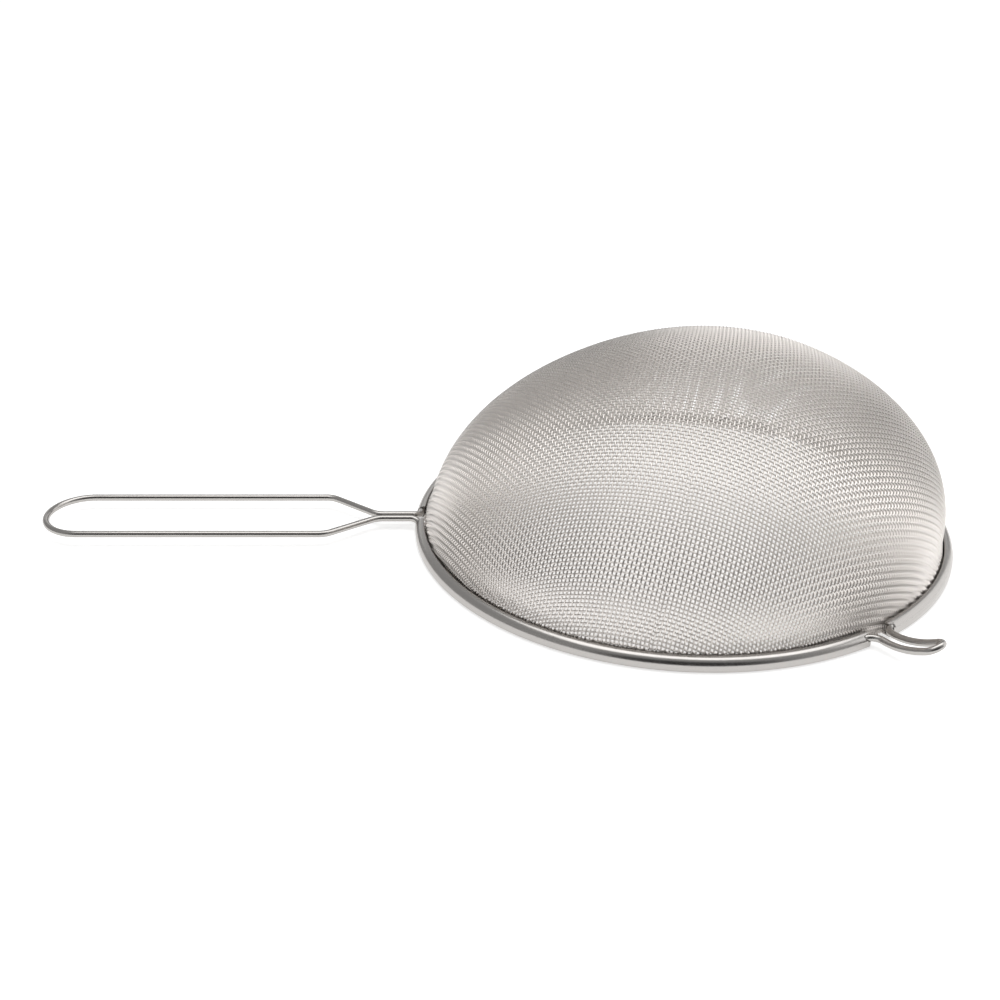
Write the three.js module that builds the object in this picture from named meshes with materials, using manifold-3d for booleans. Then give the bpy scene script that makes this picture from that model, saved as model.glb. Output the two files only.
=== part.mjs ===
import * as THREE from 'three';
import { mergeVertices } from 'three/addons/utils/BufferGeometryUtils.js';
import Module from 'manifold-3d';

// A round wire-mesh sieve lying bowl up on its rim, in millimetres and degrees.
// The handle points to -X, the two rest hooks are on the +X side, and Z = 0 is the surface under the rim.

// Rim: a folded sheet channel that holds the frame wire and the folded edge of the mesh
const rimDiameter = 200;
const sheetThickness = 0.5;
const sheetBend = 1.5;
const lipBend = 2.2;
const innerFlangeHeight = 5.2;
const fitGap = 0.3;

// Frame wire
const wireDiameter = 2.5;
const spliceInset = 14;

// Mesh bowl
const meshWireDiameter = 0.55;
const foldReach = 2.5;
const wallSetIn = 1.7;
const flareHeight = 4;
const wallPeak = 77.3;
const wallLean = 11.5;
const wallDraft = 1.49;
const wallBelly = 0.9;
const crownStart = 48;

// A plain grid of openings that stands for the weave. Each opening takes a share of its place in the grid.
const openingsAcross = 12;
const openingShare = 0.62;
const weaveTurn = -17;
const closedBand = 2.5;

// Handle loop and neck
const handleReach = 140.3;
const handleSpacing = 29.8;
const handleHeight = 4.4;
const handleBend = 8;
const neckSpacing = 3.1;
const neckLength = 14.5;
const neckHeight = 4;
const neckBend = 3.8;
const spreadLength = 18;

// Rest hooks
const hookAzimuth = 55.2;
const hookSpacing = 5.4;
const hookReach = 21.2;
const hookBend = 5.2;
const hookTipHeight = 9.8;
const hookSweep = 2.6;
const hookTwist = 21;

// Openings between the sleeves, measured along the rim
const hookGap = 10;
const neckGapNear = 3.8;
const neckGapFar = 6.6;

// Facets
const wireSides = 8;
const sleeveSteps = 24;
const hoopSteps = 24;
const bendSteps = 6;
const endSteps = 16;
const hookSteps = 8;
const cornerSteps = 2;
const wallSteps = 32;
const crownSteps = 12;
const bandSteps = 2;
const crowding = 1.5;

// Sizes that follow from the ones above
const wireRadius = wireDiameter / 2;
const meshThickness = 2 * meshWireDiameter;
const rimRadius = rimDiameter / 2;
const hoopRadius = rimRadius - sheetThickness - fitGap - wireRadius;
const skirtRadius = hoopRadius - wireRadius - fitGap;
const lipInnerRadius = skirtRadius + fitGap;
const skirtInnerRadius = skirtRadius - meshThickness;
const rimInnerRadius = skirtInnerRadius - fitGap - sheetThickness;
const foldBottom = sheetThickness + fitGap;
const foldTop = foldBottom + meshThickness;
const hoopHeight = foldTop + fitGap + wireRadius;
const rimHeight = hoopHeight + wireRadius + fitGap + sheetThickness;
const handleEnd = rimRadius + handleReach - wireRadius;
const hookTip = rimRadius + hookReach;
const rimCentreX = (handleEnd + wireRadius - rimRadius) / 2;
const gridPitch = 2 / (openingsAcross + 1 - openingShare);

const wasm = await Module();
wasm.setup();

function steel(color, roughness) {
  return new THREE.MeshStandardMaterial({ color, roughness, metalness: 1 });
}

// A path through given points, which are also the stations of what is swept along it
class WirePath extends THREE.Curve {
  constructor(points) {
    super();
    this.points = points;
  }

  getPoint(t, target = new THREE.Vector3()) {
    const place = t * (this.points.length - 1);
    const index = Math.min(Math.floor(place), this.points.length - 2);
    return target.lerpVectors(this.points[index], this.points[index + 1], place - index);
  }

  getPointAt(u, target) {
    return this.getPoint(u, target);
  }

  getTangentAt(u, target = new THREE.Vector3()) {
    const index = Math.round(u * (this.points.length - 1));
    const before = this.points[Math.max(index - 1, 0)];
    const after = this.points[Math.min(index + 1, this.points.length - 1)];
    return target.subVectors(after, before).normalize();
  }
}

// A level arc about the rim's centre, counterclockwise, with angles in radians
class RimArc extends THREE.Curve {
  constructor(radius, height, start, end) {
    super();
    Object.assign(this, { radius, height, start, end });
  }

  getPoint(t, target = new THREE.Vector3()) {
    const angle = THREE.MathUtils.lerp(this.start, this.end, t);
    return target.set(this.radius * Math.cos(angle), this.radius * Math.sin(angle), this.height);
  }
}

function sweep(shape, path, steps) {
  return new THREE.ExtrudeGeometry(shape, { steps, extrudePath: path, curveSegments: cornerSteps });
}

function roundSection(radius) {
  const corners = [];
  for (let side = 0; side < wireSides; side += 1) {
    const angle = 2 * Math.PI * (side + 0.5) / wireSides;
    corners.push(new THREE.Vector2(radius * Math.cos(angle), radius * Math.sin(angle)));
  }
  return new THREE.Shape(corners);
}

function wireThrough(points, radius = wireRadius) {
  return sweep(roundSection(radius), new WirePath(points), points.length - 1);
}

function toSolid(geometry) {
  const bare = geometry.clone();
  bare.deleteAttribute('normal');
  bare.deleteAttribute('uv');
  const merged = mergeVertices(bare);
  return new wasm.Manifold(new wasm.Mesh({
    numProp: 3,
    vertProperties: new Float32Array(merged.attributes.position.array),
    triVerts: new Uint32Array(merged.index.array),
  }));
}

function cutBy(geometry, tools) {
  let solid = toSolid(geometry);
  for (const tool of tools) {
    solid = solid.subtract(toSolid(tool));
  }
  const mesh = solid.getMesh();
  const result = new THREE.BufferGeometry();
  result.setAttribute('position', new THREE.BufferAttribute(mesh.vertProperties, 3));
  result.setIndex(new THREE.BufferAttribute(mesh.triVerts, 1));
  result.computeVertexNormals();
  return result;
}

function alongRim(length) {
  return length / hoopRadius;
}

// The half angle, seen from the rim's centre, where a strand's bend meets the hoop
function bendAngle(half, bend) {
  return Math.asin((half + bend) / (hoopRadius + bend));
}

// One strand on its way out of a sleeve: along the hoop, then round a bend until it points straight out.
// X runs outwards along the strand and Y across it.
function strandOut(side, half, bend, height) {
  const points = [];
  const meet = bendAngle(half, bend);
  const start = meet + alongRim(spliceInset);
  for (let step = 0; step < bendSteps; step += 1) {
    const angle = THREE.MathUtils.lerp(start, meet, step / bendSteps);
    points.push(new THREE.Vector3(
      hoopRadius * Math.cos(angle), side * hoopRadius * Math.sin(angle), hoopHeight));
  }
  const centreX = Math.sqrt((hoopRadius + bend) ** 2 - (half + bend) ** 2);
  for (let step = 0; step <= bendSteps; step += 1) {
    const part = step / bendSteps;
    const angle = THREE.MathUtils.lerp(meet - Math.PI, -Math.PI / 2, part);
    points.push(new THREE.Vector3(
      centreX + bend * Math.cos(angle),
      side * (half + bend + bend * Math.sin(angle)),
      THREE.MathUtils.lerp(hoopHeight, height, THREE.MathUtils.smoothstep(part, 0, 1))));
  }
  return points;
}

// A corner of the wire, rounded to a bend radius
function roundedCorner(before, corner, after, radius) {
  const back = before.clone().sub(corner).normalize();
  const ahead = after.clone().sub(corner).normalize();
  const halfAngle = back.angleTo(ahead) / 2;
  const middle = back.clone().add(ahead).normalize();
  const centre = corner.clone().addScaledVector(middle, radius / Math.sin(halfAngle));
  const first = corner.clone().addScaledVector(back, radius / Math.tan(halfAngle)).sub(centre);
  const last = corner.clone().addScaledVector(ahead, radius / Math.tan(halfAngle)).sub(centre);
  const turn = first.angleTo(last);
  const points = [];
  for (let step = 0; step <= bendSteps; step += 1) {
    const part = step / bendSteps;
    const point = first.clone().multiplyScalar(Math.sin((1 - part) * turn) / Math.sin(turn));
    points.push(point.addScaledVector(last, Math.sin(part * turn) / Math.sin(turn)).add(centre));
  }
  return points;
}

// Half of the handle, from the splice in its sleeve to the start of the round end
function handleHalf(side) {
  const neckHalf = side * neckSpacing / 2;
  const loopHalf = side * handleSpacing / 2;
  const strand = strandOut(side, neckSpacing / 2, neckBend, neckHeight);
  const neck = new THREE.Vector3(rimRadius + neckLength, neckHalf, neckHeight);
  const spread = new THREE.Vector3(neck.x + spreadLength, loopHalf, handleHeight);
  const end = new THREE.Vector3(handleEnd - handleSpacing / 2, loopHalf, handleHeight);
  return [
    ...strand,
    ...roundedCorner(strand.at(-1), neck, spread, handleBend),
    ...roundedCorner(neck, spread, end, handleBend),
    end,
  ];
}

function handlePoints() {
  const left = handleHalf(1);
  const right = handleHalf(-1).reverse();
  const centre = new THREE.Vector3(handleEnd - handleSpacing / 2, 0, handleHeight);
  const round = [];
  for (let step = 1; step < endSteps; step += 1) {
    const angle = Math.PI * (0.5 - step / endSteps);
    const offset = new THREE.Vector3(Math.cos(angle), Math.sin(angle), 0);
    round.push(offset.multiplyScalar(handleSpacing / 2).add(centre));
  }
  return [...left, ...round, ...right];
}

// A hook leaves the rim level and straight out. Towards its tip it climbs, sweeps aside and twists.
function hookPoints() {
  const half = hookSpacing / 2;
  const strand = strandOut(1, half, hookBend, hoopHeight);
  const other = strand.map((point) => new THREE.Vector3(point.x, -point.y, point.z)).reverse();
  const root = strand.at(-1).x;
  const shoulder = hookTip - half;
  const climb = hookTipHeight - hoopHeight;
  const twist = Math.tan(THREE.MathUtils.degToRad(hookTwist));
  const bent = (x, y) => {
    const out = (x - root) / (hookTip - root);
    return new THREE.Vector3(
      x, y + hookSweep * out ** 2, hoopHeight + climb * out ** 2 + twist * y * out);
  };
  const left = [];
  const right = [];
  for (let step = 1; step <= hookSteps; step += 1) {
    const x = THREE.MathUtils.lerp(root, shoulder, step / hookSteps);
    left.push(bent(x, half));
    right.unshift(bent(x, -half));
  }
  const round = [];
  for (let step = 1; step < hookSteps; step += 1) {
    const angle = Math.PI * (0.5 - step / hookSteps);
    round.push(bent(shoulder + half * Math.cos(angle), half * Math.sin(angle)));
  }
  return [...strand, ...left, ...round, ...right, ...other];
}

function turned(points, angle) {
  const axis = new THREE.Vector3(0, 0, 1);
  return points.map((point) => point.clone().applyAxisAngle(axis, angle));
}

// The channel's section, swept with its first axis pointing down and its second towards the rim's centre
function channelShape() {
  const outline = new THREE.Path();
  const cornerIn = rimInnerRadius + sheetBend;
  const cornerOut = rimRadius - sheetBend;
  const lipCorner = rimRadius - lipBend;
  const lipLevel = rimHeight - lipBend;
  const quarter = Math.PI / 2;
  outline.moveTo(rimInnerRadius, innerFlangeHeight);
  outline.lineTo(rimInnerRadius, sheetBend);
  outline.absarc(cornerIn, sheetBend, sheetBend, 2 * quarter, 3 * quarter, false);
  outline.absarc(cornerOut, sheetBend, sheetBend, 3 * quarter, 4 * quarter, false);
  outline.absarc(lipCorner, lipLevel, lipBend, 0, quarter, false);
  outline.lineTo(lipInnerRadius, rimHeight);
  outline.lineTo(lipInnerRadius, rimHeight - sheetThickness);
  outline.absarc(lipCorner, lipLevel, lipBend - sheetThickness, quarter, 0, true);
  outline.absarc(cornerOut, sheetBend, sheetBend - sheetThickness, 4 * quarter, 3 * quarter, true);
  outline.absarc(cornerIn, sheetBend, sheetBend - sheetThickness, 3 * quarter, 2 * quarter, true);
  outline.lineTo(rimInnerRadius + sheetThickness, innerFlangeHeight);
  const section = outline.getPoints(cornerSteps);
  return new THREE.Shape(section.map((point) => new THREE.Vector2(-point.y, hoopRadius - point.x)));
}

function sleeve(start, end) {
  return sweep(channelShape(), new RimArc(hoopRadius, 0, start, end), sleeveSteps);
}

function hoop(start, end) {
  const clear = alongRim(fitGap);
  const arc = new RimArc(hoopRadius, hoopHeight, start + clear, end - clear);
  return sweep(roundSection(wireRadius), arc, hoopSteps);
}

// The bowl's wall from the rim up, then a round crown that carries its slope on to the axis.
// The depth is measured inwards from the outer face.
function wallProfile(depth) {
  const base = skirtRadius - wallSetIn - depth;
  const rise = wallPeak - depth - rimHeight;
  const last = THREE.MathUtils.degToRad(crownStart);
  const points = [];
  for (let step = 0; step <= wallSteps; step += 1) {
    const angle = last * (step / wallSteps) ** crowding;
    const lift = rise * Math.sin(angle) ** wallBelly;
    const flare = wallSetIn * (1 - Math.min(1, lift / flareHeight)) ** 2;
    points.push(new THREE.Vector2(base * Math.cos(angle) ** wallDraft + flare, rimHeight + lift));
  }
  const shoulder = points.at(-1);
  const inward = base * wallDraft * Math.cos(last) ** (wallDraft - 1) * Math.sin(last);
  const upward = rise * wallBelly * Math.sin(last) ** (wallBelly - 1) * Math.cos(last);
  const slope = Math.atan2(upward, inward);
  const crownRadius = shoulder.x / Math.sin(slope);
  for (let step = crownSteps - 1; step >= 0; step -= 1) {
    const angle = slope * step / crownSteps;
    const drop = crownRadius * (Math.cos(angle) - Math.cos(slope));
    points.push(new THREE.Vector2(crownRadius * Math.sin(angle), shoulder.y + drop));
  }
  return points;
}

// The lines of a square grid from -1 to 1: the openings' sides, and one through the crown
function gridLines() {
  const lines = [-1, 0, 1];
  for (let opening = 0; opening < openingsAcross; opening += 1) {
    const end = (opening + 1) * gridPitch - 1;
    lines.push(end - openingShare * gridPitch, end);
  }
  return lines.sort((one, other) => one - other);
}

// Whether an opening, and not a bar, lies between a line and the next
function isOpen(lines, index) {
  const middle = (lines[index] + lines[index + 1]) / 2;
  return (middle + 1) / gridPitch % 1 > 1 - openingShare;
}

// A place in the square grid once it is drawn in to a circle, as a weave is when it is pressed into a bowl
function drawnIn(across, along) {
  const place = new THREE.Vector2(
    across * Math.sqrt(1 - along ** 2 / 2), along * Math.sqrt(1 - across ** 2 / 2));
  return place.rotateAround(new THREE.Vector2(), THREE.MathUtils.degToRad(weaveTurn));
}

// The bowl leans towards the hooks, more the higher it gets
function leaning(radius, direction, height) {
  const lift = Math.max(0, height - rimHeight) / (wallPeak - rimHeight);
  return [radius * direction.x + wallLean * lift, radius * direction.y, height];
}

// The section under the grid: down the outer wall, round the folded brim and back up the inner wall
function brimSection(outerWall, innerWall, edge) {
  const bevel = meshThickness / 2;
  const foldEdge = skirtInnerRadius + foldReach;
  const band = Array.from({ length: bandSteps }, (_, step) => (1 - edge) * step / bandSteps);
  return [
    ...band.map((part) => outerWall.getPoint(part)).reverse(),
    new THREE.Vector2(skirtRadius, foldTop),
    new THREE.Vector2(foldEdge, foldTop),
    new THREE.Vector2(foldEdge, foldBottom),
    new THREE.Vector2(skirtInnerRadius + bevel, foldBottom),
    new THREE.Vector2(skirtInnerRadius, foldBottom + bevel),
    ...band.map((part) => innerWall.getPoint(part)),
  ];
}

function meshBowl() {
  const walls = [0, meshThickness].map((depth) => new THREE.Path(wallProfile(depth)));
  const edge = 1 - closedBand / walls[0].getLength();
  const lines = gridLines();
  const size = lines.length;
  const last = size - 1;
  const points = [];
  for (const wall of walls) {
    for (const along of lines) {
      for (const across of lines) {
        const flat = drawnIn(across, along);
        const place = wall.getPoint(1 - edge * flat.length());
        points.push(leaning(place.x, flat.normalize(), place.y));
      }
    }
  }

  const triangles = [];
  const quad = (a, b, c, d) => triangles.push(a, b, c, a, c, d);
  const inner = size * size;
  for (let row = 0; row < last; row += 1) {
    for (let column = 0; column < last; column += 1) {
      const start = row * size + column;
      const corners = [start, start + 1, start + size + 1, start + size];
      if (isOpen(lines, row) && isOpen(lines, column)) {
        corners.forEach((corner, index) => {
          const next = corners[(index + 1) % 4];
          quad(corner, next, next + inner, corner + inner);
        });
      } else {
        quad(...corners);
        quad(...corners.map((corner) => corner + inner).reverse());
      }
    }
  }

  const steps = Array.from({ length: last }, (_, step) => step);
  const border = [
    ...steps,
    ...steps.map((step) => step * size + last),
    ...steps.map((step) => inner - 1 - step),
    ...steps.map((step) => inner - size * (step + 1)),
  ];
  let above = border;
  const join = (below) => {
    above.forEach((corner, index) => {
      const next = (index + 1) % above.length;
      quad(corner, below[index], below[next], above[next]);
    });
    above = below;
  };
  for (const place of brimSection(...walls, edge)) {
    const first = points.length;
    for (const corner of border) {
      const flat = drawnIn(lines[corner % size], lines[Math.floor(corner / size)]);
      points.push(leaning(place.x, flat.normalize(), place.y));
    }
    join(border.map((_, index) => first + index));
  }
  join(border.map((corner) => corner + inner));

  const bowl = new THREE.BufferGeometry();
  bowl.setAttribute('position', new THREE.Float32BufferAttribute(points.flat(), 3));
  bowl.setIndex(triangles);
  bowl.computeVertexNormals();
  return bowl;
}

const hookAngle = THREE.MathUtils.degToRad(hookAzimuth);
const neckSplice = bendAngle(neckSpacing / 2, neckBend) + alongRim(spliceInset);
const hookSplice = bendAngle(hookSpacing / 2, hookBend) + alongRim(spliceInset);
const hookMouth = alongRim(hookGap / 2);

const handlePath = turned(handlePoints(), Math.PI);
const nearHookPath = turned(hookPoints(), -hookAngle);
const farHookPath = nearHookPath.map((point) => new THREE.Vector3(point.x, -point.y, point.z)).reverse();
const wireRoom = [handlePath, nearHookPath, farHookPath]
  .map((points) => wireThrough(points, wireRadius + fitGap));

const sieve = new THREE.Group();
sieve.position.x = rimCentreX;

function add(name, geometry, material) {
  const piece = new THREE.Mesh(geometry, material);
  piece.name = name;
  sieve.add(piece);
}

add('handle_wire', wireThrough(handlePath), steel(0xc9c5c0, 0.22));
add('near_hook', wireThrough(nearHookPath), steel(0xc9c5c0, 0.22));
add('far_hook', wireThrough(farHookPath), steel(0xc9c5c0, 0.22));
add('near_hoop', hoop(neckSplice - Math.PI, -hookAngle - hookSplice), steel(0xb9b5b0, 0.3));
add('front_hoop', hoop(hookSplice - hookAngle, hookAngle - hookSplice), steel(0xb9b5b0, 0.3));
add('far_hoop', hoop(hookAngle + hookSplice, Math.PI - neckSplice), steel(0xb9b5b0, 0.3));

const nearSleeve = sleeve(alongRim(neckGapNear) - Math.PI, -hookAngle - hookMouth);
const frontSleeve = sleeve(hookMouth - hookAngle, hookAngle - hookMouth);
const farSleeve = sleeve(hookAngle + hookMouth, Math.PI - alongRim(neckGapFar));
add('near_sleeve', cutBy(nearSleeve, wireRoom), steel(0xd2cfca, 0.28));
add('front_sleeve', cutBy(frontSleeve, wireRoom), steel(0xd2cfca, 0.28));
add('far_sleeve', cutBy(farSleeve, wireRoom), steel(0xd2cfca, 0.28));

add('mesh_bowl', meshBowl(), steel(0xbcb8b3, 0.35));

export default sieve;
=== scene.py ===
import bmesh
import bpy
import math
import numpy as np
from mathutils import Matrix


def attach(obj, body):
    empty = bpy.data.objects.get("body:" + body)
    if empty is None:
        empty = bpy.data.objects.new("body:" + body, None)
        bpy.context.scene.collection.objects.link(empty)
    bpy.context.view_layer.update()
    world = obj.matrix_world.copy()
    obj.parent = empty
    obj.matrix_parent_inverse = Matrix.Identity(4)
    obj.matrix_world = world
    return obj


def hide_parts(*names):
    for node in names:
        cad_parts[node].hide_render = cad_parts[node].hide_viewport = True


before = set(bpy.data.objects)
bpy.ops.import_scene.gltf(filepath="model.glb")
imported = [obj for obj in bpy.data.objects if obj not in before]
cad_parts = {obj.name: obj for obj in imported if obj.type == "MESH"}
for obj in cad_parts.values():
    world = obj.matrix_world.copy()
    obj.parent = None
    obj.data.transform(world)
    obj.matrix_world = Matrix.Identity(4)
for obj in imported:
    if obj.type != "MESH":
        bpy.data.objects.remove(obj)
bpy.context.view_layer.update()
scene = bpy.context.scene
print("frame loaded")

# Lengths are in metres and angles in degrees. Paths are laid out about the rim's centre.
rim = {"centreX": 0.07015, "radius": 0.0999}


# Materials
def steel(name, colour, roughness, grain, grainScale):
    material = bpy.data.materials.new(name)
    material.use_nodes = True
    nodes = material.node_tree.nodes
    links = material.node_tree.links
    shader = nodes["Principled BSDF"]
    shader.inputs["Base Color"].default_value = (*colour, 1)
    shader.inputs["Metallic"].default_value = 1
    place = nodes.new("ShaderNodeTexCoord")
    noise = nodes.new("ShaderNodeTexNoise")
    noise.inputs["Scale"].default_value = grainScale
    noise.inputs["Detail"].default_value = 4
    spread = nodes.new("ShaderNodeMapRange")
    spread.inputs["To Min"].default_value = roughness - grain
    spread.inputs["To Max"].default_value = roughness + grain
    links.new(place.outputs["Object"], noise.inputs["Vector"])
    links.new(noise.outputs["Fac"], spread.inputs["Value"])
    links.new(spread.outputs["Result"], shader.inputs["Roughness"])
    return material


wireSteel = steel("wireSteel", (0.46, 0.443, 0.426), 0.2, 0.05, 300)
sheetSteel = steel("sheetSteel", (0.48, 0.462, 0.445), 0.24, 0.06, 250)
meshSteel = steel("meshSteel", (0.78, 0.742, 0.71), 0.3, 0.05, 400)


# Node trees
def newTree(name, inputs):
    tree = bpy.data.node_groups.new(name, "GeometryNodeTree")
    tree.interface.new_socket("Geometry", in_out="INPUT", socket_type="NodeSocketGeometry")
    for label, kind in inputs:
        tree.interface.new_socket(label, in_out="INPUT", socket_type=kind)
    tree.interface.new_socket("Geometry", in_out="OUTPUT", socket_type="NodeSocketGeometry")
    start = tree.nodes.new("NodeGroupInput")
    end = tree.nodes.new("NodeGroupOutput")
    return tree, start, end


def finishTree(tree, start, end, last):
    smooth = tree.nodes.new("GeometryNodeSetShadeSmooth")
    real = tree.nodes.new("GeometryNodeRealizeInstances")
    paint = tree.nodes.new("GeometryNodeSetMaterial")
    tree.links.new(last, smooth.inputs["Geometry"])
    tree.links.new(smooth.outputs["Geometry"], real.inputs["Geometry"])
    tree.links.new(real.outputs["Geometry"], paint.inputs["Geometry"])
    tree.links.new(start.outputs["Material"], paint.inputs["Material"])
    tree.links.new(paint.outputs["Geometry"], end.inputs["Geometry"])


def roundWireTree():
    tree, start, end = newTree("roundWire", [
        ("Radius", "NodeSocketFloat"), ("Sides", "NodeSocketInt"), ("Crimp", "NodeSocketFloat"),
        ("Caps", "NodeSocketBool"), ("Material", "NodeSocketMaterial")])
    lift = tree.nodes.new("GeometryNodeInputNamedAttribute")
    lift.data_type = "FLOAT_VECTOR"
    lift.inputs["Name"].default_value = "lift"
    scale = tree.nodes.new("ShaderNodeVectorMath")
    scale.operation = "SCALE"
    move = tree.nodes.new("GeometryNodeSetPosition")
    path = tree.nodes.new("GeometryNodeMeshToCurve")
    circle = tree.nodes.new("GeometryNodeCurvePrimitiveCircle")
    tube = tree.nodes.new("GeometryNodeCurveToMesh")
    tree.links.new(start.outputs["Geometry"], move.inputs["Geometry"])
    tree.links.new(lift.outputs["Attribute"], scale.inputs["Vector"])
    tree.links.new(start.outputs["Crimp"], scale.inputs["Scale"])
    tree.links.new(scale.outputs["Vector"], move.inputs["Offset"])
    tree.links.new(move.outputs["Geometry"], path.inputs["Mesh"])
    tree.links.new(start.outputs["Sides"], circle.inputs["Resolution"])
    tree.links.new(start.outputs["Radius"], circle.inputs["Radius"])
    tree.links.new(path.outputs["Curve"], tube.inputs["Curve"])
    tree.links.new(circle.outputs["Curve"], tube.inputs["Profile Curve"])
    tree.links.new(start.outputs["Caps"], tube.inputs["Fill Caps"])
    finishTree(tree, start, end, tube.outputs["Mesh"])
    return tree


def channelTree():
    tree, start, end = newTree("channel", [
        ("Section", "NodeSocketObject"), ("Material", "NodeSocketMaterial")])
    path = tree.nodes.new("GeometryNodeMeshToCurve")
    upright = tree.nodes.new("GeometryNodeSetCurveNormal")
    section = tree.nodes.new("GeometryNodeObjectInfo")
    outline = tree.nodes.new("GeometryNodeMeshToCurve")
    sweep = tree.nodes.new("GeometryNodeCurveToMesh")
    sweep.inputs["Fill Caps"].default_value = True
    tree.links.new(start.outputs["Geometry"], path.inputs["Mesh"])
    tree.links.new(path.outputs["Curve"], upright.inputs["Curve"])
    tree.links.new(start.outputs["Section"], section.inputs["Object"])
    tree.links.new(section.outputs["Geometry"], outline.inputs["Mesh"])
    tree.links.new(upright.outputs["Curve"], sweep.inputs["Curve"])
    tree.links.new(outline.outputs["Curve"], sweep.inputs["Profile Curve"])
    finishTree(tree, start, end, sweep.outputs["Mesh"])
    return tree


wireTree = roundWireTree()
sleeveTree = channelTree()
print("node trees built")


def lineObject(name, runs, lifts=None, closed=False):
    points = np.concatenate(runs)
    edges = []
    first = 0
    for run in runs:
        index = np.arange(first, first + len(run))
        edges.append(np.stack([index[:-1], index[1:]], 1))
        if closed:
            edges.append(np.array([[index[-1], index[0]]]))
        first += len(run)
    mesh = bpy.data.meshes.new(name)
    mesh.from_pydata(points.tolist(), np.concatenate(edges).tolist(), [])
    attribute = mesh.attributes.new("lift", "FLOAT_VECTOR", "POINT")
    if lifts is not None:
        attribute.data.foreach_set("vector", np.concatenate(lifts).astype(np.float32).ravel())
    line = bpy.data.objects.new(name, mesh)
    scene.collection.objects.link(line)
    return line


def throughTree(line, tree, **values):
    modifier = line.modifiers.new("shape", "NODES")
    modifier.node_group = tree
    for item in tree.interface.items_tree:
        if item.item_type == "SOCKET" and item.in_out == "INPUT" and item.name in values:
            modifier[item.identifier] = values[item.name]
    line.update_tag()
    bpy.context.view_layer.update()
    evaluated = line.evaluated_get(bpy.context.evaluated_depsgraph_get())
    mesh = bpy.data.meshes.new_from_object(evaluated)
    line.modifiers.remove(modifier)
    old = line.data
    line.data = mesh
    mesh.name = line.name
    bpy.data.meshes.remove(old)
    attribute = mesh.attributes.get("lift")
    if attribute:
        mesh.attributes.remove(attribute)
    return line


def inFrame(points):
    return points + np.array([rim["centreX"], 0, 0])


def settle(piece, node):
    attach(piece, "root")
    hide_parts(node)


# Frame wire: handle, hooks and the hoop lengths inside the sleeves
wire = {
    "radius": 0.00125, "hoopRadius": 0.09795, "hoopHeight": 0.0031, "splice": 0.014, "endGap": 0.18,
    "sides": 24,
}
handle = {
    "end": 0.239, "spacing": 0.0298, "height": 0.0044, "bend": 0.008,
    "neckSpacing": 0.0031, "neckLength": 0.0145, "neckHeight": 0.004, "neckBend": 0.0038, "spread": 0.018,
}
hook = {
    "azimuth": 55.2, "spacing": 0.0056, "tip": 0.1206, "bend": 0.0048, "rootHeight": 0.00345,
    "tipHeight": 0.0089, "sweep": 0.0026, "twist": 15.4,
}


def strandOut(side, half, bend, height, steps=24):
    hoopRadius = wire["hoopRadius"]
    meet = math.asin((half + bend) / (hoopRadius + bend))
    inSleeve = np.linspace(meet + wire["splice"] / hoopRadius, meet, steps, endpoint=False)
    level = np.full(steps, wire["hoopHeight"])
    onHoop = np.stack([hoopRadius * np.cos(inSleeve), side * hoopRadius * np.sin(inSleeve), level], 1)
    part = np.linspace(0, 1, steps + 1)
    turn = meet - math.pi + (math.pi / 2 - meet) * part
    centreX = math.sqrt((hoopRadius + bend) ** 2 - (half + bend) ** 2)
    rise = wire["hoopHeight"] + (height - wire["hoopHeight"]) * part * part * (3 - 2 * part)
    across = side * (half + bend + bend * np.sin(turn))
    return np.concatenate([onHoop, np.stack([centreX + bend * np.cos(turn), across, rise], 1)])


def roundedCorner(before, corner, after, radius, steps=16):
    back = (before - corner) / np.linalg.norm(before - corner)
    ahead = (after - corner) / np.linalg.norm(after - corner)
    half = math.acos(float(back @ ahead)) / 2
    middle = (back + ahead) / np.linalg.norm(back + ahead)
    centre = corner + middle * radius / math.sin(half)
    first = corner + back * radius / math.tan(half) - centre
    last = corner + ahead * radius / math.tan(half) - centre
    turn = math.pi - 2 * half
    part = np.linspace(0, 1, steps + 1)[:, None]
    return (first * np.sin((1 - part) * turn) + last * np.sin(part * turn)) / math.sin(turn) + centre


def turned(points, degrees):
    angle = math.radians(degrees)
    ahead, aside = math.cos(angle), math.sin(angle)
    spin = np.array([[ahead, -aside, 0], [aside, ahead, 0], [0, 0, 1]])
    return points @ spin.T


def handlePath():
    halves = []
    half = handle["spacing"] / 2
    neckHalf = handle["neckSpacing"] / 2
    endX = handle["end"] - half
    for side in (1, -1):
        strand = strandOut(side, neckHalf, handle["neckBend"], handle["neckHeight"])
        neck = np.array([rim["radius"] + handle["neckLength"], side * neckHalf, handle["neckHeight"]])
        spread = np.array([neck[0] + handle["spread"], side * half, handle["height"]])
        end = np.array([endX, side * half, handle["height"]])
        atNeck = roundedCorner(strand[-1], neck, spread, handle["bend"])
        atSpread = roundedCorner(neck, spread, end, handle["bend"])
        halves.append(np.concatenate([strand, atNeck, atSpread]))
    angle = np.linspace(math.pi / 2, -math.pi / 2, 65)
    level = np.full(65, handle["height"])
    loop = np.stack([endX + half * np.cos(angle), half * np.sin(angle), level], 1)
    return turned(np.concatenate([halves[0], loop, halves[1][::-1]]), 180)


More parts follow.
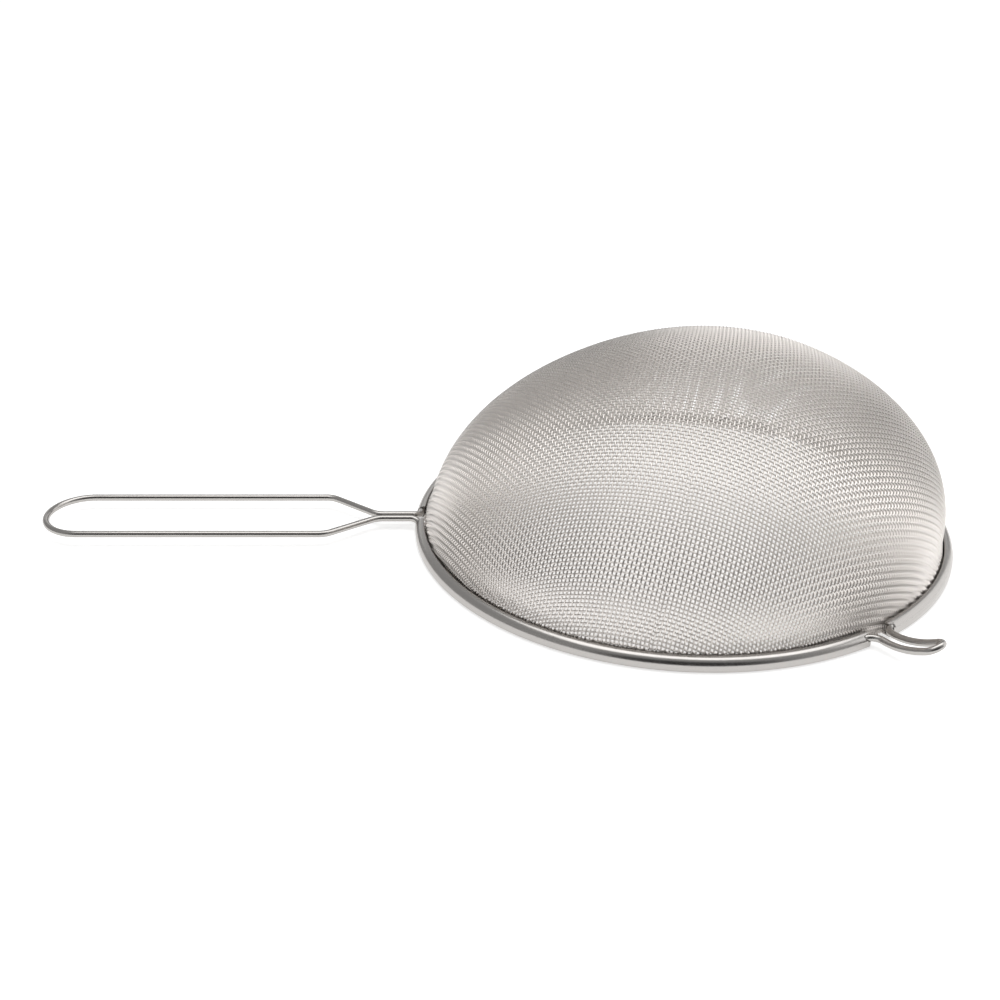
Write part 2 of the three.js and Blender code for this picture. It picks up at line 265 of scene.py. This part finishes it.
def hookPath(side):
    half = hook["spacing"] / 2
    strand = strandOut(1, half, hook["bend"], hook["rootHeight"])
    root = strand[-1, 0]
    shoulder = hook["tip"] - half
    straight = np.linspace(root, shoulder, 25)[1:]
    angle = np.linspace(math.pi / 2, -math.pi / 2, 33)[1:-1]
    reach = np.concatenate([straight, shoulder + half * np.cos(angle), straight[::-1]])
    across = np.concatenate([np.full(24, half), half * np.sin(angle), np.full(24, -half)])
    out = (reach - root) / (hook["tip"] - root)
    rise = hook["rootHeight"] + (hook["tipHeight"] - hook["rootHeight"]) * out ** 2
    rise = rise + math.tan(math.radians(hook["twist"])) * across * out
    free = np.stack([reach, across + hook["sweep"] * out ** 2, rise], 1)
    points = np.concatenate([strand, free, strand[::-1] * np.array([1, -1, 1])])
    return turned(points, -hook["azimuth"]) * np.array([1, -side, 1])


def splice(spacing, bend):
    meet = math.asin((spacing / 2 + bend) / (wire["hoopRadius"] + bend))
    return math.degrees(meet + wire["splice"] / wire["hoopRadius"])


def arcPath(start, end, height, step=0.7):
    angle = np.radians(np.linspace(start, end, int((end - start) / step) + 2))
    level = np.full(len(angle), height)
    return np.stack([wire["hoopRadius"] * np.cos(angle), wire["hoopRadius"] * np.sin(angle), level], 1)


def wirePiece(name, node, path, radius=wire["radius"]):
    line = lineObject(name, [inFrame(path)])
    piece = throughTree(line, wireTree, Radius=radius, Sides=wire["sides"],
                        Crimp=0.0, Caps=True, Material=wireSteel)
    if node:
        settle(piece, node)
    return piece


neckSplice = splice(handle["neckSpacing"], handle["neckBend"])
hookSplice = splice(hook["spacing"], hook["bend"])
paths = {"handle": handlePath(), "nearHook": hookPath(-1), "farHook": hookPath(1)}
wirePiece("handleWire", "handle_wire", paths["handle"])
wirePiece("nearHook", "near_hook", paths["nearHook"])
wirePiece("farHook", "far_hook", paths["farHook"])
hoops = {
    "near": (neckSplice - 180, -hook["azimuth"] - hookSplice),
    "front": (hookSplice - hook["azimuth"], hook["azimuth"] - hookSplice),
    "far": (hook["azimuth"] + hookSplice, 180 - neckSplice),
}
for name, (start, end) in hoops.items():
    path = arcPath(start + wire["endGap"], end - wire["endGap"], wire["hoopHeight"])
    wirePiece(name + "Hoop", name + "_hoop", path)
print("frame wire built")


# Folded rim sheet
sleeve = {
    "innerRadius": 0.0942, "height": 0.0049, "sheet": 0.0005, "flangeHeight": 0.0038, "lipReach": 0.0034,
    "topBend": 0.003, "bottomBend": 0.001, "innerBend": 0.0015,
    "hookGap": 0.01, "neckGapNear": 0.003, "neckGapFar": 0.0066, "wireRoom": 0.00012, "sameSpot": 1e-7,
}


def bendPoints(centreX, centreZ, radius, start, end, steps=10):
    angle = np.radians(np.linspace(start, end, steps + 1))
    return np.stack([centreX + radius * np.cos(angle), centreZ + radius * np.sin(angle)], 1)


def rimSection():
    sheet = sleeve["sheet"]
    inner = (sleeve["innerRadius"] + sleeve["innerBend"], sleeve["innerBend"], sleeve["innerBend"])
    bottom = (rim["radius"] - sleeve["bottomBend"], sleeve["bottomBend"], sleeve["bottomBend"])
    top = (rim["radius"] - sleeve["topBend"], sleeve["height"] - sleeve["topBend"], sleeve["topBend"])
    lip = rim["radius"] - sleeve["lipReach"]
    outline = [
        np.array([[sleeve["innerRadius"], sleeve["flangeHeight"]]]),
        bendPoints(*inner, 180, 270),
        bendPoints(*bottom, 270, 360),
        bendPoints(*top, 0, 90),
        np.array([[lip, sleeve["height"]], [lip, sleeve["height"] - sheet]]),
        bendPoints(top[0], top[1], top[2] - sheet, 90, 0),
        bendPoints(bottom[0], bottom[1], bottom[2] - sheet, 360, 270),
        bendPoints(inner[0], inner[1], inner[2] - sheet, 270, 180),
        np.array([[sleeve["innerRadius"] + sheet, sleeve["flangeHeight"]]]),
    ]
    points = np.concatenate(outline)
    keep = np.append(True, np.linalg.norm(np.diff(points, axis=0), axis=1) > sleeve["sameSpot"])
    points = points[keep]
    return np.stack([points[:, 0] - wire["hoopRadius"], -points[:, 1], np.zeros(len(points))], 1)


def sleevePiece(name, node, start, end, rooms):
    line = lineObject(name, [inFrame(arcPath(start, end, 0))])
    piece = throughTree(line, sleeveTree, Section=section, Material=sheetSteel)
    shape = bmesh.new()
    shape.from_mesh(piece.data)
    bmesh.ops.recalc_face_normals(shape, faces=shape.faces)
    shape.to_mesh(piece.data)
    shape.free()
    for room in rooms:
        cut = piece.modifiers.new("room", "BOOLEAN")
        cut.operation = "DIFFERENCE"
        cut.solver = "EXACT"
        cut.object = room
    bpy.context.view_layer.update()
    evaluated = piece.evaluated_get(bpy.context.evaluated_depsgraph_get())
    old = piece.data
    piece.data = bpy.data.meshes.new_from_object(evaluated)
    piece.modifiers.clear()
    bpy.data.meshes.remove(old)
    piece.data.name = name
    settle(piece, node)
    return piece


section = lineObject("section", [rimSection()], closed=True)
roomRadius = wire["radius"] + sleeve["wireRoom"]
rooms = {name: wirePiece(name + "Room", None, path, roomRadius) for name, path in paths.items()}
hookMouth = math.degrees(sleeve["hookGap"] / 2 / wire["hoopRadius"])
neckNear = math.degrees(sleeve["neckGapNear"] / wire["hoopRadius"])
neckFar = math.degrees(sleeve["neckGapFar"] / wire["hoopRadius"])
sleevePiece("nearSleeve", "near_sleeve", neckNear - 180, -hook["azimuth"] - hookMouth,
            [rooms["handle"], rooms["nearHook"]])
sleevePiece("frontSleeve", "front_sleeve", hookMouth - hook["azimuth"], hook["azimuth"] - hookMouth,
            [rooms["nearHook"], rooms["farHook"]])
sleevePiece("farSleeve", "far_sleeve", hook["azimuth"] + hookMouth, 180 - neckFar,
            [rooms["farHook"], rooms["handle"]])
for extra in [section, *rooms.values()]:
    bpy.data.objects.remove(extra)
print("rim sleeves built")


# Woven mesh: two families of wires, equally spaced along the dome, over and under each other in turn
bowl = {
    "skirtRadius": 0.096, "setIn": 0.0012, "foot": 0.0055, "flareHeight": 0.004, "peak": 0.07726,
    "lean": 0.0115, "draft": 1.49, "belly": 0.9, "crownStart": 48, "skirtBottom": 0.0017, "skirtSpare": 0.08,
    "foldDepth": 0.00055, "foldReach": 0.0019,
    "wireRadius": 0.00032, "pitch": 0.0014, "firstAngle": 78.3, "secondAngle": 158.4, "sides": 6,
}


def bowlMeridian():
    depth = 2 * bowl["wireRadius"]
    base = bowl["skirtRadius"] - bowl["setIn"] - depth
    rise = bowl["peak"] - depth - bowl["foot"]
    last = math.radians(bowl["crownStart"])
    angle = last * np.linspace(0, 1, 1500) ** 1.5
    lift = rise * np.sin(angle) ** bowl["belly"]
    flare = bowl["setIn"] * (1 - np.minimum(1, lift / bowl["flareHeight"])) ** 2
    radius = base * np.cos(angle) ** bowl["draft"] + flare
    height = bowl["foot"] + lift
    inward = base * bowl["draft"] * math.cos(last) ** (bowl["draft"] - 1) * math.sin(last)
    upward = rise * bowl["belly"] * math.sin(last) ** (bowl["belly"] - 1) * math.cos(last)
    slope = math.atan2(upward, inward)
    crown = radius[-1] / math.sin(slope)
    angle = slope * np.linspace(1, 0, 800)[1:]
    radius = np.append(radius, crown * np.sin(angle))[::-1]
    height = np.append(height, height[-1] + crown * (np.cos(angle) - math.cos(slope)))[::-1]
    return radius, height


def withArcs(radius, height):
    steps = np.hypot(np.diff(radius), np.diff(height))
    return np.append(0, np.cumsum(steps)), radius, height


def onBowl(flat, meridian):
    arcs, radii, heights = meridian
    reach = np.maximum(np.hypot(flat[..., 0], flat[..., 1]), 1e-12)
    radius = np.interp(reach, arcs, radii)
    height = np.interp(reach, arcs, heights)
    lean = bowl["lean"] * np.maximum(0, height - bowl["foot"]) / (bowl["peak"] - bowl["foot"])
    return np.stack([radius * flat[..., 0] / reach + lean, radius * flat[..., 1] / reach, height], -1)


def straightWire(direction, count, meridian):
    flat = np.linspace(0, 1.6, 16000)[:, None] * direction * bowl["pitch"] * count
    points = onBowl(flat, meridian)
    found = [0]
    for index in range(count):
        gap = np.linalg.norm(points[found[-1]:] - points[found[-1]], axis=1)
        found.append(found[-1] + int(np.argmax(gap >= bowl["pitch"])))
    return flat[found]


def weaveNet(count, meridian):
    net = np.zeros((2 * count + 1, 2 * count + 1, 2))
    angles = np.radians([bowl["firstAngle"], bowl["secondAngle"]])
    directions = np.stack([np.cos(angles), np.sin(angles)], 1)
    for sign in (1, -1):
        index = count + sign * np.arange(count + 1)
        net[index, count] = straightWire(sign * directions[0], count, meridian)
        net[count, index] = straightWire(sign * directions[1], count, meridian)
    step = 1e-6
    for signI in (1, -1):
        for signJ in (1, -1):
            for diagonal in range(2, 2 * count + 1):
                i = np.arange(max(1, diagonal - count), min(count, diagonal - 1) + 1)
                j = diagonal - i
                i, j = count + signI * i, count + signJ * j
                before, beside = net[i - signI, j], net[i, j - signJ]
                fixedA, fixedB = onBowl(before, meridian), onBowl(beside, meridian)
                guess = before + beside - net[i - signI, j - signJ]
                for attempt in range(7):
                    place = onBowl(guess, meridian)
                    alongX = (onBowl(guess + [step, 0], meridian) - place) / step
                    alongY = (onBowl(guess + [0, step], meridian) - place) / step
                    fromA, fromB = place - fixedA, place - fixedB
                    missA = (fromA ** 2).sum(1) - bowl["pitch"] ** 2
                    missB = (fromB ** 2).sum(1) - bowl["pitch"] ** 2
                    ax, ay = 2 * (fromA * alongX).sum(1), 2 * (fromA * alongY).sum(1)
                    bx, by = 2 * (fromB * alongX).sum(1), 2 * (fromB * alongY).sum(1)
                    scale = ax * by - ay * bx
                    scale = np.where(np.abs(scale) < 1e-12, 1e-12, scale)
                    move = np.stack([by * missA - ay * missB, ax * missB - bx * missA], 1) / scale[:, None]
                    length = np.linalg.norm(move, axis=1)[:, None]
                    guess = guess - move * np.minimum(1, bowl["pitch"] / np.maximum(length, 1e-12))
                net[i, j] = guess
    return net


def bowlNormals(flat, meridian):
    step = 2e-5
    alongX = onBowl(flat + [step, 0], meridian) - onBowl(flat - [step, 0], meridian)
    alongY = onBowl(flat + [0, step], meridian) - onBowl(flat - [0, step], meridian)
    normal = np.cross(alongX, alongY)
    return normal / np.linalg.norm(normal, axis=-1, keepdims=True)


wallRadius, wallHeight = bowlMeridian()
skirt = wallRadius[-1]
low = bowl["skirtBottom"]
openRadius = np.append(wallRadius, [skirt, skirt])
openWall = withArcs(openRadius, np.append(wallHeight, [low, low - bowl["skirtSpare"]]))
turnRadius = bowl["foldDepth"]
corner = bendPoints(skirt + turnRadius, low, turnRadius, 180, 270, 6)
foldedRadius = np.concatenate([wallRadius, corner[:, 0], [skirt + bowl["foldReach"]]])
foldedHeight = np.concatenate([wallHeight, corner[:, 1], [low - turnRadius]])
foldedWall = withArcs(foldedRadius, foldedHeight)
count = int(foldedWall[0][-1] / bowl["pitch"]) + 4
net = weaveNet(count, openWall)
places = inFrame(onBowl(net, foldedWall))
normals = bowlNormals(net, foldedWall)
inside = np.hypot(net[..., 0], net[..., 1]) < foldedWall[0][-1]
parity = (np.add.outer(np.arange(2 * count + 1), np.arange(2 * count + 1)) % 2) * 2 - 1
lifts = normals * parity[..., None]
print("weave laid out", int(inside.sum()), "crossings")


def familyRuns(points, offsets, mask):
    runs = []
    for row in range(len(points)):
        edges = np.flatnonzero(np.diff(np.concatenate([[0], mask[row].astype(int), [0]])))
        for start, end in zip(edges[::2], edges[1::2]):
            if end - start > 1:
                runs.append((points[row, start:end], offsets[row, start:end]))
    return runs


def meshPieces(name, runs, parts):
    total = sum(len(run[0]) for run in runs)
    groups = [[] for part in range(parts)]
    seen = 0
    for run in runs:
        groups[min(parts - 1, int(parts * seen / total))].append(run)
        seen += len(run[0])
    for index, group in enumerate(groups):
        line = lineObject(name + str(index + 1), [run[0] for run in group], [run[1] for run in group])
        piece = throughTree(line, wireTree, Radius=bowl["wireRadius"], Sides=bowl["sides"],
                            Crimp=bowl["wireRadius"], Caps=True, Material=meshSteel)
        settle(piece, "mesh_bowl")
        print(piece.name, len(piece.data.polygons) * 2, "triangles")


meshPieces("meshWarp", familyRuns(places.swapaxes(0, 1), lifts.swapaxes(0, 1), inside.T), 2)
meshPieces("meshWeft", familyRuns(places, -lifts, inside), 2)
print("woven mesh built")

# Stage: pale floor, soft light and the photograph's camera
ground = {"half": 20, "drop": 0.0002, "paint": 0.85, "glow": 0.56}
room = {"pale": 0.4, "dim": 0.04, "dimElevation": 16, "dimFrom": 0.7, "dimFull": 0.95}
half = ground["half"]
floorMesh = bpy.data.meshes.new("floor")
corners = [(-half, -half, 0), (half, -half, 0), (half, half, 0), (-half, half, 0)]
floorMesh.from_pydata(corners, [], [(0, 1, 2, 3)])
floor = bpy.data.objects.new("floor", floorMesh)
floor.location.z = -ground["drop"]
scene.collection.objects.link(floor)
floorPaint = bpy.data.materials.new("floorPaint")
floorPaint.use_nodes = True
floorShader = floorPaint.node_tree.nodes["Principled BSDF"]
floorShader.inputs["Base Color"].default_value = (*[ground["paint"]] * 3, 1)
floorShader.inputs["Roughness"].default_value = 1
floorShader.inputs["Specular IOR Level"].default_value = 0
floorShader.inputs["Emission Color"].default_value = (1, 1, 1, 1)
floorShader.inputs["Emission Strength"].default_value = ground["glow"]
floorMesh.materials.append(floorPaint)

world = bpy.data.worlds.new("studio")
world.use_nodes = True
scene.world = world

# The room is pale all round, but dim on the camera's side
worldNodes = world.node_tree.nodes
worldLinks = world.node_tree.links
direction = worldNodes.new("ShaderNodeTexCoord")
facing = worldNodes.new("ShaderNodeVectorMath")
facing.operation = "DOT_PRODUCT"
elevation = math.radians(room["dimElevation"])
facing.inputs[1].default_value = (0, -math.cos(elevation), math.sin(elevation))
dimming = worldNodes.new("ShaderNodeMapRange")
dimming.interpolation_type = "SMOOTHSTEP"
dimming.inputs["From Min"].default_value = room["dimFrom"]
dimming.inputs["From Max"].default_value = room["dimFull"]
dimming.inputs["To Min"].default_value = room["pale"]
dimming.inputs["To Max"].default_value = room["dim"]
worldLinks.new(direction.outputs["Generated"], facing.inputs[0])
worldLinks.new(facing.outputs["Value"], dimming.inputs["Value"])
worldLinks.new(dimming.outputs["Result"], worldNodes["Background"].inputs["Strength"])
worldNodes["Background"].inputs["Color"].default_value = (1, 1, 1, 1)


def softLight(name, place, target, size, power):
    light = bpy.data.lights.new(name, "AREA")
    light.shape = "RECTANGLE"
    light.size, light.size_y = size
    light.energy = power
    lamp = bpy.data.objects.new(name, light)
    lamp.location = place
    aim = np.array(target) - np.array(place)
    tilt = math.acos(-aim[2] / np.linalg.norm(aim))
    lamp.rotation_euler = (tilt, 0, math.atan2(aim[1], aim[0]) - math.pi / 2)
    scene.collection.objects.link(lamp)
    return lamp


softLight("overhead", (0.2, 0.1, 1.1), (0.2, 0.10001, 0), (1.4, 0.85), 6.8)
softLight("back", (0, 2.4, 0.9), (0, 2.40001, 0), (3.2, 1.4), 7)
softLight("right", (1.4, 0.3, 0.6), (0.2, 0.2, 0.3), (1.8, 1.2), 6)

lens = bpy.data.cameras.new("photo")
lens.lens = 50.41
lens.sensor_width = 36
lens.clip_start = 0.01
camera = bpy.data.objects.new("photo", lens)
camera.location = (0.00235, -0.46958, 0.24968)
camera.rotation_euler = (math.radians(63.05), 0, 0)
scene.collection.objects.link(camera)
scene.camera = camera
scene.view_settings.view_transform = "Standard"
print("stage set")
